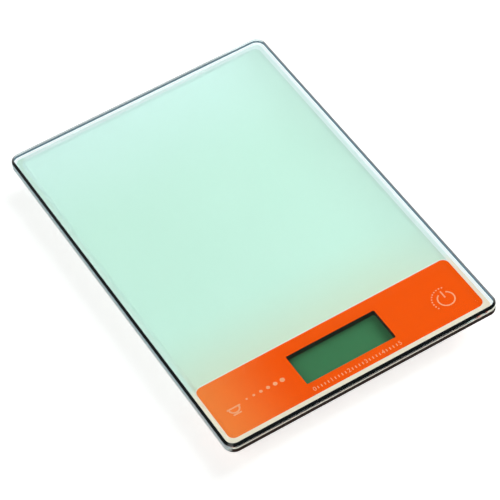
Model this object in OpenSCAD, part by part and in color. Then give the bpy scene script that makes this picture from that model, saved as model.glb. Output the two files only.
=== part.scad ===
// Slim kitchen scale: a glass platform bonded to a shallow moulded housing that stands on four
// sensor feet. Each foot bears on a folded-beam load cell. The display and the board lie behind a
// window at the front end, and a coin cell sits behind a door in the floor.
// X runs left to right, Y from the display end to the back, Z up. The origin is on the table,
// under the centre of the glass.

/* [Glass platform] */
// Width of the glass, left to right
glass_w = 150; // [148:1:170]
// Length of the glass, front to back
glass_l = 220; // [214:1:250]
// Thickness of the glass
glass_t = 6; // [4:0.5:8]
// Radius of the glass corners
glass_r = 5.5; // [3:0.5:12]
// Width of the ground arris round the top of the glass
arris = 1.2; // [0.8:0.1:1.6]
// Width of the smaller arris round its back
back_arris = 0.6; // [0.3:0.1:0.8]

/* [Back print] */
// Margin between the prints and the edge of the glass, along the sides and the back
print_margin = 4.4; // [3.6:0.2:6]
// Margin between the band and the front edge of the glass
front_margin = 5.9; // [4.5:0.2:7]
// Clear strip along the edge of the glass, outside the white border
clear_strip = 2.3; // [2:0.1:2.6]
// Depth of the coloured band at the display end
band_l = 34.4; // [33:0.2:42]
// Radius of the band's corners
band_r = 3.5; // [1:0.5:6]
// Width of the display window in the band
window_w = 49.5; // [40:0.5:50]
// Length of the display window, front to back
window_l = 19.5; // [14:0.5:19.5]

/* [Housing] */
// Height of the housing, from its floor to the face glued to the glass
housing_h = 10; // [10:0.5:14]
// How far the glass reaches past the top of the housing
overhang = 8.5; // [8:0.5:9]
// Wall thickness of the mouldings
wall = 1.6; // [1.4:0.1:1.7]
// Corner radius of the housing at its top
housing_r = 14; // [13:0.5:16]
// How far the flank leans in between the knee and the floor
flank_run = 5; // [3:0.5:5]

/* [Feet] */
// How far the feet stand out below the floor
foot_drop = 2; // [1.5:0.25:3]
// Radius of a foot
foot_r = 9; // [8:0.5:9.5]
// Travel of a foot from rest to its overload stop
foot_travel = 0.5; // [0.3:0.1:0.5]

/* [Load cells] */
// Side of the square load cell plate
cell_side = 27; // [27:0.5:28]
// Thickness of the load cell plate
cell_t = 1.2; // [1:0.1:1.4]
// Width of the slots that free the beams
cell_slot = 1.2; // [1:0.1:1.4]

/* [Battery] */
// Width of the battery door
door_w = 26; // [25:1:30]
// Length of the battery door, from latch to hinge
door_l = 26; // [26:1:30]

/* [Unit button] */
// Radius of the unit button
button_r = 3; // [2.5:0.25:3.5]
// Travel of the unit button
button_travel = 0.25; // [0.2:0.05:0.25]

/* [Hidden] */
$fn = 64;
CORNERS = [["front_left", -1, -1], ["front_right", 1, -1], ["back_left", -1, 1], ["back_right", 1, 1]];
REPEATED = ["load_cell", "cell_bracket", "cell_lead", "foot", "foot_pad"];

// Heights, from the table up
tape_t = 0.8;
print_t = 0.2;
z_floor = foot_drop;
z_cover = z_floor + wall;
z_top = z_floor + housing_h;
z_ceiling = z_top - wall;
z_print = z_top + tape_t;
z_glass = z_print + print_t;
z_knee = z_floor + 0.6 * housing_h;
fuse = 0.5; // how far joined solids run into each other
reach = 1; // how far a cutter runs past the face it opens

// Outline of the housing
housing_w = glass_w - 2 * overhang;
housing_l = glass_l - 2 * overhang;
top_bevel = 0.5;
lean = flank_run / (z_knee - z_floor);
lean_wall = wall * sqrt(1 + lean * lean); // the leaning wall measured level
z_inner_knee = z_knee + (lean_wall - wall) / lean;
cover_gap = 0.15;

// The band and the display
band_w = glass_w - 2 * print_margin;
band_y = -glass_l / 2 + front_margin + band_l / 2;
band_gap = 0.4; // white line between the two colours
window_r = 0.8;
display_y = -glass_l / 2 + 23.1;
display_w = 56;
display_front = -10.4;
display_back = 12.8;
ledge = 3;
z_display = z_ceiling - 3;
display_t = 1.6;
contact_plate_t = 0.8;
sight_gap = 0.3; // how far the frame's opening stands back from the window in the print
frame_wall = 0.8;
frame_back_wall = 1.2;
frame_w = display_w + 5;
fit = 0.2;

// The board
board_t = 1;
board_w = 66;
board_front = -8.6;
board_back = 31;
z_board = z_ceiling - 5.2;
z_board_top = z_board + board_t;
board_screw_xy = [30, 28.5];

// Load cells and feet, measured from the axis of each foot
foot_x = housing_w / 2 - 19.5;
foot_y = housing_l / 2 - 20.5;
seat_drop = foot_travel + 0.3; // room above a cell plate for its tongue to rise
z_cell_top = z_ceiling - seat_drop;
z_cell = z_cell_top - cell_t;
rim_w = 4;
beam_w = 3;
tongue_w = cell_side - 2 * rim_w - 2 * beam_w - 4 * cell_slot;
bracket_side = cell_side + 3;
bracket_floor = 1.2;
z_bracket = z_cell - bracket_floor;
bracket_screw_at = cell_side / 2 - 2.4;
foot_gap = 0.5;
pin_r = 1.5;
z_pin = z_ceiling - foot_travel - 0.1; // clear of the ceiling at the overload stop
pad_t = 1.2;
pad_r = foot_r - 1.6;
flange_r = foot_r + 1.6;
z_flange = z_cover + 0.3;

// Screws: the radius of the shank, the head and the hole it passes through
small_shank = 0.83;
small_head = 1.9;
small_pass = 1.15;
cover_shank = 1.12;
cover_head = 2.6;
cover_pass = 1.6;
thread_gap = 0.02;
well_t = 1.2;
z_well = z_cover + well_t;
cover_screw_xy = [
  [-53, -55], [53, -55], [-53, 0], [53, 0], [-53, 55], [53, 55], [0, housing_l / 2 - 13.5], [0, -48]
];

// Battery well and door
battery_y = 5;
cell_r = 10;
coin_t = 3.2;
well_r = 10.6;
well_wall = 1.4;
door_t = 1.4;
door_gap = 0.3;
z_coin = z_floor + 2.2;
z_well_roof = z_coin + coin_t + 0.8;
roof_t = 1;
hinge_y = battery_y + door_l / 2 - door_t / 2;
hinge_z = z_floor + door_t / 2;
tongue_x = 8;
door_tongue_w = 4;
latch_w = 8;
grip_r = 0.4;
strip_t = 0.3;
contact_w = 5;
z_tab = z_well_roof + roof_t + 0.05;

// Unit button and its switch
button_at = [18, -64];
switch_side = 4.5;
plunger_r = 1;
flange_t = 0.35;
z_button_flange = z_cover + 0.15;
z_plunger = z_button_flange + flange_t;
z_switch = z_plunger + button_travel + 0.05;

// Leads and the touch electrode
ribbon_w = 2.1;
ribbon_t = seat_drop - 0.1;
lead_start = 5.5;
front_pad = [27, 64]; // where the leads meet the board, from the middle and from the origin forwards
back_pad = [22, 60];
wire_r = 0.4;
touch_xy = [57, -91];
touch_r = 5.5;
foil_t = 0.3;
tail_w = 3;
tail_x = 31.3;

// Ribs of the two mouldings
rib_t = 1.2;
rib_h = 2.2;
cover_rib_h = 1.6;
housing_rib_x = [-38, -18, 18, 38];
housing_rib_y = [-46, -22, 28, 58];
cover_rib_x = [-27, 27];
cover_rib_y = [-34, 34, 64];
board_bay = [32, 24]; // width and back end of the bay kept free of ribs for the leads and the well
boss_r = 3.2;
boss_clear = boss_r - 0.2; // ribs stop just inside the bosses

// ---- Shapes that repeat ----

// A rectangle with round corners
module rounded_rect(w, l, r) {
  square([w - 2 * r, l], center = true);
  square([w, l - 2 * r], center = true);
  for (x = [-1, 1], y = [-1, 1]) translate([x * (w / 2 - r), y * (l / 2 - r)]) circle(r);
}

// A rounded rectangular solid. Its edge follows points of [inset, height], from the bottom up.
module edge_swept(w, l, r, edge) {
  module section(half) {
    polygon(concat(
      [for (p = edge) [half - p[0], p[1]]],
      [for (i = [len(edge) - 1:-1:0]) [edge[i][0] - half, edge[i][1]]]
    ));
  }
  module corner_section() {
    polygon(concat([for (p = edge) [r - p[0], p[1]]], [for (i = [len(edge) - 1:-1:0]) [0, edge[i][1]]]));
  }
  rotate([90, 0, 0]) linear_extrude(l - 2 * r, center = true) section(w / 2);
  rotate([90, 0, 90]) linear_extrude(w - 2 * r, center = true) section(l / 2);
  for (x = [-1, 1], y = [-1, 1])
    translate([x * (w / 2 - r), y * (l / 2 - r), 0]) rotate_extrude() corner_section();
}

// A flat path of the given width through points whose legs run along X or Y
module flat_path(points, w) {
  for (i = [1:len(points) - 1]) {
    a = points[i - 1];
    b = points[i];
    along = [abs(b[0] - a[0]), abs(b[1] - a[1])];
    translate((a + b) / 2) square([max(along[0], w), max(along[1], w)], center = true);
  }
}

// A bent metal strip: points give its middle line, seen from the side
module bent_strip(points, t, w) {
  rotate([90, 0, 0]) linear_extrude(w, center = true) {
    for (i = [1:len(points) - 1]) {
      step = points[i] - points[i - 1];
      translate(points[i - 1]) rotate(atan2(step[1], step[0]))
        translate([0, -t / 2]) square([norm(step), t]);
    }
    for (i = [1:1:len(points) - 2]) translate(points[i]) circle(d = t, $fn = 24);
  }
}

// A wire swept along points, mitred at each bend
function unit(v) = v / norm(v);
function leg(p, i) = unit(p[i + 1] - p[i]);
function mitre(p, i) = i == len(p) - 1 ? leg(p, i - 1) : unit(leg(p, i - 1) + leg(p, i));
function slid_ring(ring, dir, at, normal) = [for (q = ring) q + dir * ((at - q) * normal) / (dir * normal)];
function next_rings(p, ring, i) =
  i == len(p) ? [] :
  let (moved = slid_ring(ring, leg(p, i - 1), p[i], mitre(p, i)))
  concat([moved], next_rings(p, moved, i + 1));
module wire(p, r, sides = 8) {
  side = unit(cross(leg(p, 0), abs(leg(p, 0)[2]) > 0.9 ? [1, 0, 0] : [0, 0, 1]));
  up = cross(leg(p, 0), side);
  first = [for (k = [0:sides - 1]) let (a = 360 * k / sides) p[0] + r * (cos(a) * side + sin(a) * up)];
  rings = concat([first], next_rings(p, first, 1));
  ends = len(rings) - 1;
  polyhedron(
    [for (ring = rings, q = ring) q],
    concat(
      [[for (k = [0:sides - 1]) k]],
      [for (i = [0:ends - 1], k = [0:sides - 1])
        let (n = (k + 1) % sides)
        [i * sides + k, (i + 1) * sides + k, (i + 1) * sides + n, i * sides + n]],
      [[for (k = [sides - 1:-1:0]) ends * sides + k]]
    )
  );
}

// A screw driven upwards, its head below z
module screw(z, head_r, head_t, shank_r, depth) {
  difference() {
    translate([0, 0, z - head_t]) cylinder(r = head_r, h = head_t);
    for (turn = [0, 90])
      translate([0, 0, z - head_t]) rotate(turn) cube([head_r, 0.5, head_t], center = true);
  }
  translate([0, 0, z - fuse / 2]) cylinder(r = shank_r, h = depth + fuse / 2, $fn = 32);
}

// Puts children at a foot, with local +X and +Y towards the middle of the scale
module at_foot(c) {
  translate([c[1] * foot_x, c[2] * foot_y, 0])
    mirror([c[1] > 0 ? 1 : 0, 0, 0]) mirror([0, c[2] > 0 ? 1 : 0, 0]) children();
}

module at_points(points) {
  for (p = points) translate([p[0], p[1], 0]) children();
}

// Level inset of the housing's inner face at height z, from the top outline
function inner_inset(z) = z > z_inner_knee ? wall : wall + lean * (z_inner_knee - z);

function board_screws_at() = [for (x = [-1, 1]) [x * board_screw_xy[0], display_y + board_screw_xy[1]]];

// Route of a cell's lead, in the foot's own directions: over the cell's rim, then to the board
function lead_route(c) = c[2] < 0
  ? [[0, lead_start], [0, foot_y - front_pad[1]], [foot_x - front_pad[0], foot_y - front_pad[1]]]
  : [[0, lead_start], [0, 20], [foot_x - back_pad[0], 20], [foot_x - back_pad[0], foot_y + back_pad[1]]];

// ---- Glass, prints and tape ----

module glass_platform() {
  color("#d8f0ea", 0.5)
    translate([0, 0, z_glass])
      edge_swept(glass_w, glass_l, glass_r,
        [[back_arris, 0], [0, back_arris], [0, glass_t - arris], [arris, glass_t]]);
}

module band_outline() {
  translate([0, band_y]) rounded_rect(band_w, band_l, band_r);
}

// The mint fills in round the band's back corners, short of them by the gap
module mint_outline() {
  mint_front = band_y + band_l / 2 - band_r;
  mint_back = glass_l / 2 - print_margin;
  difference() {
    union() {
      translate([0, (mint_front + mint_back) / 2]) rounded_rect(band_w, mint_back - mint_front, band_r);
      translate([-band_w / 2, mint_front]) square([band_w, 2 * band_r]);
    }
    translate([0, band_y]) rounded_rect(band_w + 2 * band_gap, band_l + 2 * band_gap, band_r + band_gap);
  }
}

module mint_print() {
  color("#c8ecdd") translate([0, 0, z_print]) linear_extrude(print_t) mint_outline();
}

module band_print() {
  color("#f66012") translate([0, 0, z_print]) linear_extrude(print_t) difference() {
    band_outline();
    translate([0, display_y]) rounded_rect(window_w, window_l, window_r);
  }
}

// White ink round both colours, and in the line between them
module border_print() {
  color("#f1ead8") translate([0, 0, z_print]) linear_extrude(print_t) difference() {
    rounded_rect(glass_w - 2 * clear_strip, glass_l - 2 * clear_strip, glass_r - clear_strip);
    band_outline();
    mint_outline();
  }
}

// The hole that the display frame needs in the tape and in the top of the housing
module frame_hole(extra) {
  frame_l = display_back - display_front + frame_wall + frame_back_wall;
  translate([0, display_y + display_front - frame_wall + frame_l / 2])
    square([frame_w + 2 * (fit + extra), frame_l + 2 * (fit + extra)], center = true);
}

module bonding_tape() {
  tape_w = 12;
  edge = 1.2;
  color("#e9e9e4") translate([0, 0, z_top]) linear_extrude(tape_t) difference() {
    rounded_rect(housing_w - 2 * edge, housing_l - 2 * edge, housing_r - edge);
    for (side = [-1, 1]) {
      bay_l = foot_y + 2;
      translate([0, side > 0 ? bay_l / 2 + tape_w / 2 : -bay_l / 2 + tape_w + 8])
        rounded_rect(housing_w - 2 * edge - 2 * tape_w, bay_l - tape_w - (side > 0 ? 0 : 16), 3);
    }
    frame_hole(0.4);
    translate(touch_xy) circle(touch_r + 0.5);
    translate([tail_x - 1, touch_xy[1] - tail_w / 2 - 0.3])
      square([touch_xy[0] - tail_x, tail_w + 0.6]);
  }
}

// Copper foil under the touch mark, with a tail that turns down to the board
module touch_electrode() {
  color("#b87333") {
    translate([0, 0, z_print - foil_t]) linear_extrude(foil_t) {
      translate(touch_xy) circle(touch_r);
      translate([tail_x, touch_xy[1] - tail_w / 2]) square([touch_xy[0] - tail_x, tail_w]);
    }
    translate([tail_x, touch_xy[1] - tail_w / 2, z_board_top])
      cube([foil_t, tail_w, z_print - z_board_top]);
  }
}

// ---- Housing ----

module rib_plan() {
  difference() {
    union() {
      for (x = housing_rib_x) translate([x - rib_t / 2, -60]) square([rib_t, 60 + foot_y - 19]);
      for (y = housing_rib_y) translate([-housing_w / 2 + 1, y]) square([housing_w - 2, rib_t]);
      for (x = [-18, 18]) translate([x - rib_t / 2, 0]) square([rib_t, housing_l / 2 - 1]);
    }
    translate([-board_bay[0] / 2, -70]) square([board_bay[0], 70 + board_bay[1]]);
    for (p = cover_screw_xy) translate(p) circle(boss_clear);
    for (c = CORNERS) translate([c[1] * foot_x, c[2] * foot_y])
      square(bracket_side + 1, center = true);
    for (c = CORNERS) translate([c[1] * foot_x, c[2] * foot_y])
      mirror([c[1] > 0 ? 1 : 0, 0]) mirror([0, c[2] > 0 ? 1 : 0]) flat_path(lead_route(c), ribbon_w + 1);
  }
}

module housing_shell() {
  difference() {
    edge_swept(housing_w, housing_l, housing_r,
      [[flank_run, z_floor], [0, z_knee], [0, z_top - top_bevel], [top_bevel, z_top]]);
    edge_swept(housing_w - 2 * wall, housing_l - 2 * wall, housing_r - wall,
      [[lean * (z_inner_knee - z_floor + reach), z_floor - reach], [0, z_inner_knee], [0, z_ceiling]]);
  }
}

// A raised seat that meets the rim of a load cell, open where the lead leaves
module cell_seat() {
  translate([0, 0, z_cell_top]) linear_extrude(seat_drop + fuse) difference() {
    square(cell_side, center = true);
    square(cell_side - 2 * rim_w, center = true);
    translate([-ribbon_w / 2 - 0.3, 0]) square([ribbon_w + 0.6, cell_side]);
  }
}

module upper_housing() {
  color("#f2f3f0") difference() {
    union() {
      housing_shell();
      for (c = CORNERS) at_foot(c) cell_seat();
      at_points(cover_screw_xy) translate([0, 0, z_well]) cylinder(r = boss_r, h = z_ceiling - z_well + fuse);
      at_points(board_screws_at())
        translate([0, 0, z_board_top]) cylinder(r = 2.6, h = z_ceiling - z_board_top + fuse);
      translate([0, 0, z_ceiling - rib_h]) linear_extrude(rib_h + fuse) rib_plan();
    }
    translate([0, 0, z_ceiling - reach]) linear_extrude(wall + 2 * reach) frame_hole(0.1);
    translate([0, touch_xy[1] - tail_w / 2 - 0.3, z_ceiling - reach])
      cube([tail_x + 0.7, tail_w + 0.6, wall + 2 * reach]);
    at_points(cover_screw_xy) translate([0, 0, z_well - reach])
      cylinder(r = cover_shank + thread_gap, h = reach + 5, $fn = 32);
    at_points(board_screws_at()) translate([0, 0, z_board_top - reach])
      cylinder(r = small_shank + thread_gap, h = reach + 4, $fn = 32);
    for (c = CORNERS, side = [-1, 1]) at_foot(c)
      translate([side * bracket_screw_at, -side * bracket_screw_at, z_cell_top - reach])
        cylinder(r = small_shank + thread_gap, h = reach + 2, $fn = 32);
  }
}

// ---- Base cover ----

module cover_ribs() {
  difference() {
    union() {
      for (x = cover_rib_x) translate([x - rib_t / 2, -52]) square([rib_t, 52 + foot_y + 6]);
      for (y = cover_rib_y) translate([-56, y]) square([112, rib_t]);
    }
    for (p = cover_screw_xy) translate(p) circle(boss_clear);
    for (c = CORNERS) translate([c[1] * foot_x, c[2] * foot_y]) circle(flange_r + 1);
    translate([0, battery_y]) square([door_w + 3, door_l + 3], center = true);
  }
}

// Pocket for the door, with the round well of the coin cell standing on its roof
module battery_pocket() {
  translate([0, battery_y, z_cover - fuse]) linear_extrude(well_t + fuse)
    square([door_w + 4, door_l + 4], center = true);
  translate([0, battery_y, z_cover]) cylinder(r = well_r + well_wall, h = z_well_roof + roof_t - z_cover);
}

module battery_cuts() {
  open_w = door_w + 2 * door_gap;
  open_l = door_l + 2 * door_gap;
  translate([-open_w / 2, battery_y - open_l / 2, z_floor - reach])
    cube([open_w, open_l, z_cover - z_floor + reach]);
  translate([0, battery_y, z_floor]) cylinder(r = well_r, h = z_well_roof - z_floor);
  // room for the contacts and their slots through the roof
  translate([cell_r - 0.2, battery_y - contact_w / 2 - 0.2, z_cover])
    cube([1, contact_w + 0.4, z_well_roof + roof_t + reach - z_cover]);
  translate([-cell_r + 0.2, battery_y - contact_w / 2 - 0.2, z_coin + coin_t + 0.1])
    cube([0.8, contact_w + 0.4, z_well_roof + roof_t]);
  // slots for the door's hinge tongues
  for (side = [-1, 1])
    translate([side * tongue_x - door_tongue_w / 2 - 0.3, hinge_y - 2.6, z_cover - 0.1])
      cube([door_tongue_w + 0.6, 6.6, well_t + 0.1 + reach]);
  // groove that the latch snaps into, and the fingernail recess in front of it
  translate([0, battery_y - open_l / 2, z_floor + 0.8]) rotate([0, 90, 0])
    cylinder(r = 0.45, h = latch_w, center = true, $fn = 32);
  translate([-6, battery_y - open_l / 2 - 3, z_floor - reach]) cube([12, 3 + fuse, 0.7 + reach]);
}

module base_cover() {
  color("#eceeea") difference() {
    union() {
      edge_swept(housing_w, housing_l, housing_r, [
        [inner_inset(z_floor) + cover_gap, z_floor],
        [inner_inset(z_cover) + cover_gap, z_cover]
      ]);
      at_points(cover_screw_xy) translate([0, 0, z_cover - fuse]) cylinder(r = boss_r + 1, h = well_t + fuse);
      battery_pocket();
      translate([0, 0, z_cover - fuse]) linear_extrude(fuse + cover_rib_h) cover_ribs();
      for (x = [-29, 29]) translate([x, display_y - 5, z_cover - fuse])
        cylinder(r = 2, h = z_board - z_cover + fuse);
    }
    for (c = CORNERS) at_foot(c) translate([0, 0, z_floor - reach]) {
      cylinder(r = foot_r + foot_gap, h = wall + 2 * reach);
      cylinder(r = foot_r + foot_gap + 1.5, h = reach + 0.4);
    }
    at_points(cover_screw_xy) {
      translate([0, 0, z_floor - reach]) cylinder(r = cover_head + 0.3, h = wall + reach);
      translate([0, 0, z_floor]) cylinder(r = cover_pass, h = 5, $fn = 32);
    }
    translate([button_at[0], button_at[1], z_floor - reach]) {
      cylinder(r = button_r + 0.2, h = wall + 2 * reach);
      cylinder(r = button_r + 2, h = reach + 0.4);
    }
    battery_cuts();
  }
}

module cover_screws() {
  color("#b9bcc0") at_points(cover_screw_xy) screw(z_cover, cover_head, 1.2, cover_shank, 5.5);
}

// ---- Display ----

module display_frame() {
  z_rim = z_print - 0.1;
  lower_front = board_front + 0.6;
  front = display_front - frame_wall;
  back = display_back + frame_back_wall;
  pocket_w = display_w + 2 * fit;
  color("#1d2220") translate([0, display_y, 0]) difference() {
    union() {
      translate([-frame_w / 2, front, z_display + fit])
        cube([frame_w, back - front, z_rim - z_display - fit]);
      translate([-frame_w / 2, lower_front, z_board_top])
        cube([frame_w, back - lower_front, z_display + fit + fuse - z_board_top]);
    }
    translate([-pocket_w / 2, lower_front + frame_wall, z_board_top - reach])
      cube([pocket_w, display_back + fit - lower_front - frame_wall,
        z_display + display_t - z_board_top + reach]);
    translate([-pocket_w / 2, display_front - fit, z_display - reach])
      cube([pocket_w, display_back - display_front + 2 * fit, display_t + reach + 0.05]);
    translate([0, 0, z_display]) linear_extrude(z_rim)
      rounded_rect(window_w + 2 * sight_gap, window_l + 2 * sight_gap, window_r + sight_gap);
  }
}

// Two plates: the upper one reaches past the lower to carry the contacts
module display_glass() {
  color("#42805a") translate([-display_w / 2, display_y + display_front, z_display]) {
    depth = display_back - display_front;
    cube([display_w, depth - ledge, display_t - contact_plate_t + fuse]);
    translate([0, 0, display_t - contact_plate_t]) cube([display_w, depth, contact_plate_t]);
  }
}

module light_guide() {
  guide_front = board_front + 1.6;
  color("#cfe8c4") translate([-display_w / 2 + 0.2, display_y + guide_front, z_board_top + 0.1])
    cube([display_w - 0.4, display_back - ledge - guide_front - 0.2, z_display - z_board_top - 0.15]);
}

module zebra_strip() {
  color("#e8a7b4") translate([-24, display_y + display_back - ledge + 0.5, z_board_top])
    cube([48, 2, z_display + display_t - contact_plate_t - z_board_top]);
}

// ---- Board ----

module main_board() {
  color("#2f7d4f") translate([0, 0, z_board]) linear_extrude(board_t) difference() {
    translate([0, display_y + (board_front + board_back) / 2])
      rounded_rect(board_w, board_back - board_front, 1.5);
    for (p = board_screws_at()) translate(p) circle(small_pass, $fn = 32);
  }
}

module chip_blob() {
  dome_h = 1.6;
  dome_r = 4;
  ball_r = (dome_r * dome_r + dome_h * dome_h) / (2 * dome_h);
  color("#17191b") translate([-9, display_y + 22, z_board_top]) intersection() {
    translate([0, 0, dome_h - ball_r]) sphere(ball_r);
    translate([-dome_r, -dome_r, 0]) cube([2 * dome_r, 2 * dome_r, dome_h + reach]);
  }
}

// Crystal, chip capacitors and resistors, and the lamp at the edge of the light guide
module board_parts() {
  row_y = display_y + 18;
  color("#c9b48a") translate([0, 0, z_board_top]) {
    translate([9, row_y + 1, 1]) rotate([0, 90, 0]) cylinder(r = 1, h = 6, $fn = 32);
    for (i = [0:3]) translate([-24 + 3.2 * i, row_y - 1.4, 0]) cube([1.2, 2, 0.9]);
    for (i = [0:2]) translate([4 + 3.4 * i, row_y + 6, 0]) cube([2, 1.25, 0.5]);
    translate([0, row_y + 4.5, 0]) cube([3, 3.4, 1.4]);
  }
}

module board_screws() {
  color("#b9bcc0") at_points(board_screws_at())
    screw(z_board, small_head, 1.2, small_shank, board_t + 3.5);
}

// ---- Unit button and switch ----

module switch_body() {
  color("#3a3d40") translate([button_at[0], button_at[1], 0]) difference() {
    union() {
      translate([-switch_side / 2, -switch_side / 2, z_switch])
        cube([switch_side, switch_side, z_board - z_switch]);
      for (x = [-1, 1], y = [-1, 1])
        translate([x * 2.6 - 0.6, y * 1.5 - 0.35, z_board - 0.2]) cube([1.2, 0.7, 0.2]);
    }
    translate([0, 0, z_switch - reach]) cylinder(r = plunger_r + 0.1, h = reach + 0.55, $fn = 32);
  }
}

module switch_plunger() {
  color("#d9a441") translate([button_at[0], button_at[1], z_plunger])
    cylinder(r = plunger_r, h = z_switch - z_plunger + 0.2, $fn = 32);
}

module unit_button() {
  color("#8f9694") translate([button_at[0], button_at[1], 0]) rotate_extrude() polygon([
    [0, z_floor + 0.3], [button_r - 0.4, z_floor + 0.2], [button_r, z_floor + 0.6],
    [button_r, z_button_flange], [button_r + 1.2, z_button_flange],
    [button_r + 1.2, z_plunger], [0, z_plunger]
  ]);
}

// ---- Battery ----

module coin_cell() {
  color("#c5c8ca") translate([0, battery_y, z_coin]) rotate_extrude() polygon([
    [0, 0], [cell_r - 0.4, 0], [cell_r, 0.4], [cell_r, coin_t - 0.6],
    [cell_r - 1, coin_t - 0.3], [cell_r - 1.2, coin_t], [0, coin_t]
  ]);
}

module positive_contact() {
  x = cell_r + 0.02 + strip_t / 2;
  color("#d7d2c4") translate([0, battery_y, 0])
    bent_strip([[x, z_coin + 0.4], [x, z_tab + strip_t / 2], [x + 4, z_tab + strip_t / 2]], strip_t, contact_w);
}

module negative_contact() {
  z_leaf = z_well_roof - strip_t / 2 - 0.05;
  color("#d7d2c4") translate([0, battery_y, 0]) bent_strip([
    [-cell_r - 3.5, z_tab + strip_t / 2], [-cell_r + 0.6, z_tab + strip_t / 2], [-cell_r + 0.6, z_leaf],
    [-5, z_leaf], [1, z_coin + coin_t + strip_t / 2 + 0.02], [3.5, z_leaf]
  ], strip_t, contact_w);
}

function battery_route(side) =
  let (z = z_tab + strip_t + wire_r, y_end = display_y + 28, tab_x = cell_r + 2.6)
  [
    [side * tab_x, battery_y, z], [side * tab_x, battery_y - 16, z], [side * 6, battery_y - 24, z],
    [side * 6, y_end, z], [side * 6, y_end, z_board_top]
  ];

module positive_lead() {
  color("#b3261e") wire(battery_route(1), wire_r);
}

module negative_lead() {
  color("#202020") wire(battery_route(-1), wire_r);
}

module battery_door() {
  front = battery_y - door_l / 2;
  color("#e4e6e2") {
    difference() {
      union() {
        translate([-door_w / 2, front, z_floor]) cube([door_w, hinge_y - front, door_t]);
        translate([0, hinge_y, hinge_z]) rotate([0, 90, 0])
          cylinder(r = door_t / 2, h = door_w, center = true, $fn = 32);
        translate([0, battery_y, z_floor + door_t - fuse]) difference() {
          cylinder(r = 8, h = z_coin - z_floor - door_t + fuse - 0.05);
          cylinder(r = 6, h = 5);
        }
      }
      for (side = [-1, 1]) translate([side * (latch_w / 2 + 0.4) - 0.4, front - reach, z_floor - reach])
        cube([0.8, 5.5 + reach, door_t + 2 * reach]);
    }
    // grip ridges on the latch
    for (i = [0:2]) translate([0, front + 2.6 + 1.4 * i, z_floor]) rotate([0, 90, 0])
      cylinder(r = grip_r, h = latch_w - 1.6, center = true, $fn = 24);
    // latch bead, pressed in as a fingertip holds it
    translate([0, front + 0.02, z_floor + 0.8]) rotate([0, 90, 0])
      cylinder(r = 0.27, h = latch_w, center = true, $fn = 32);
    // tongues that reach over the cover behind the hinge line
    for (side = [-1, 1]) translate([side * tongue_x - door_tongue_w / 2, 0, 0]) {
      translate([0, hinge_y - 1, hinge_z]) cube([door_tongue_w, 1.8, z_cover + 1.1 - hinge_z]);
      translate([0, hinge_y - 1, z_cover + 0.15]) cube([door_tongue_w, 4.4, 0.95]);
    }
  }
}

// ---- Load cells and feet ----

// A plate cut by two nested slots, so that rim, beam and tongue form a folded spring
module load_cell(c) {
  inner = cell_side - 2 * rim_w;
  beam_outer = inner - 2 * cell_slot;
  beam_inner = beam_outer - 2 * beam_w;
  bridge_w = 9;
  tongue_end = -tongue_w / 2;
  color("#aeb3b6") at_foot(c) translate([0, 0, z_cell]) linear_extrude(cell_t) difference() {
    rounded_rect(cell_side, cell_side, 3.5);
    difference() {
      square(inner, center = true);
      square(beam_outer, center = true);
      translate([-bridge_w / 2, -cell_side / 2]) square([bridge_w, rim_w + cell_slot + fuse]);
    }
    difference() {
      square(beam_inner, center = true);
      translate([-tongue_w / 2, tongue_end]) square([tongue_w, beam_inner]);
    }
    circle(pin_r + 0.1, $fn = 32);
    for (side = [-1, 1])
      translate([side * bracket_screw_at, -side * bracket_screw_at]) circle(small_pass, $fn = 32);
  }
}

module strain_gauges() {
  color("#d8c9a0") for (c = CORNERS) at_foot(c)
    translate([-2, 2.2, z_cell_top]) cube([4, 3, 0.25]);
}

// Tray that holds a load cell up against its seat
module cell_bracket(c) {
  color("#dfe2de") at_foot(c) translate([0, 0, z_bracket]) difference() {
    linear_extrude(bracket_floor + cell_t - 0.2) rounded_rect(bracket_side, bracket_side, 5);
    translate([0, 0, bracket_floor]) linear_extrude(cell_t)
      rounded_rect(cell_side + 0.3, cell_side + 0.3, 3.6);
    translate([0, 0, -reach]) cylinder(r = cell_side / 2 - rim_w - 0.1, h = bracket_floor + 2 * reach);
    for (side = [-1, 1]) translate([side * bracket_screw_at, -side * bracket_screw_at, -reach])
      cylinder(r = small_pass, h = bracket_floor + 2 * reach, $fn = 32);
  }
}

module bracket_screws() {
  color("#b9bcc0") for (c = CORNERS, side = [-1, 1]) at_foot(c)
    translate([side * bracket_screw_at, -side * bracket_screw_at, 0])
      screw(z_bracket, small_head, 1.2, small_shank, bracket_floor + cell_t + 1.9);
}

// Flat lead along the ceiling, turned down to the board at its end
module cell_lead(c) {
  route = lead_route(c);
  color("#d24b3e") at_foot(c) {
    translate([0, 0, z_ceiling - ribbon_t]) linear_extrude(ribbon_t) flat_path(route, ribbon_w);
    translate([route[len(route) - 1][0] - ribbon_w / 2, route[len(route) - 1][1] - ribbon_t / 2, z_board_top])
      cube([ribbon_w, ribbon_t, z_ceiling - z_board_top]);
  }
}

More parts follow.
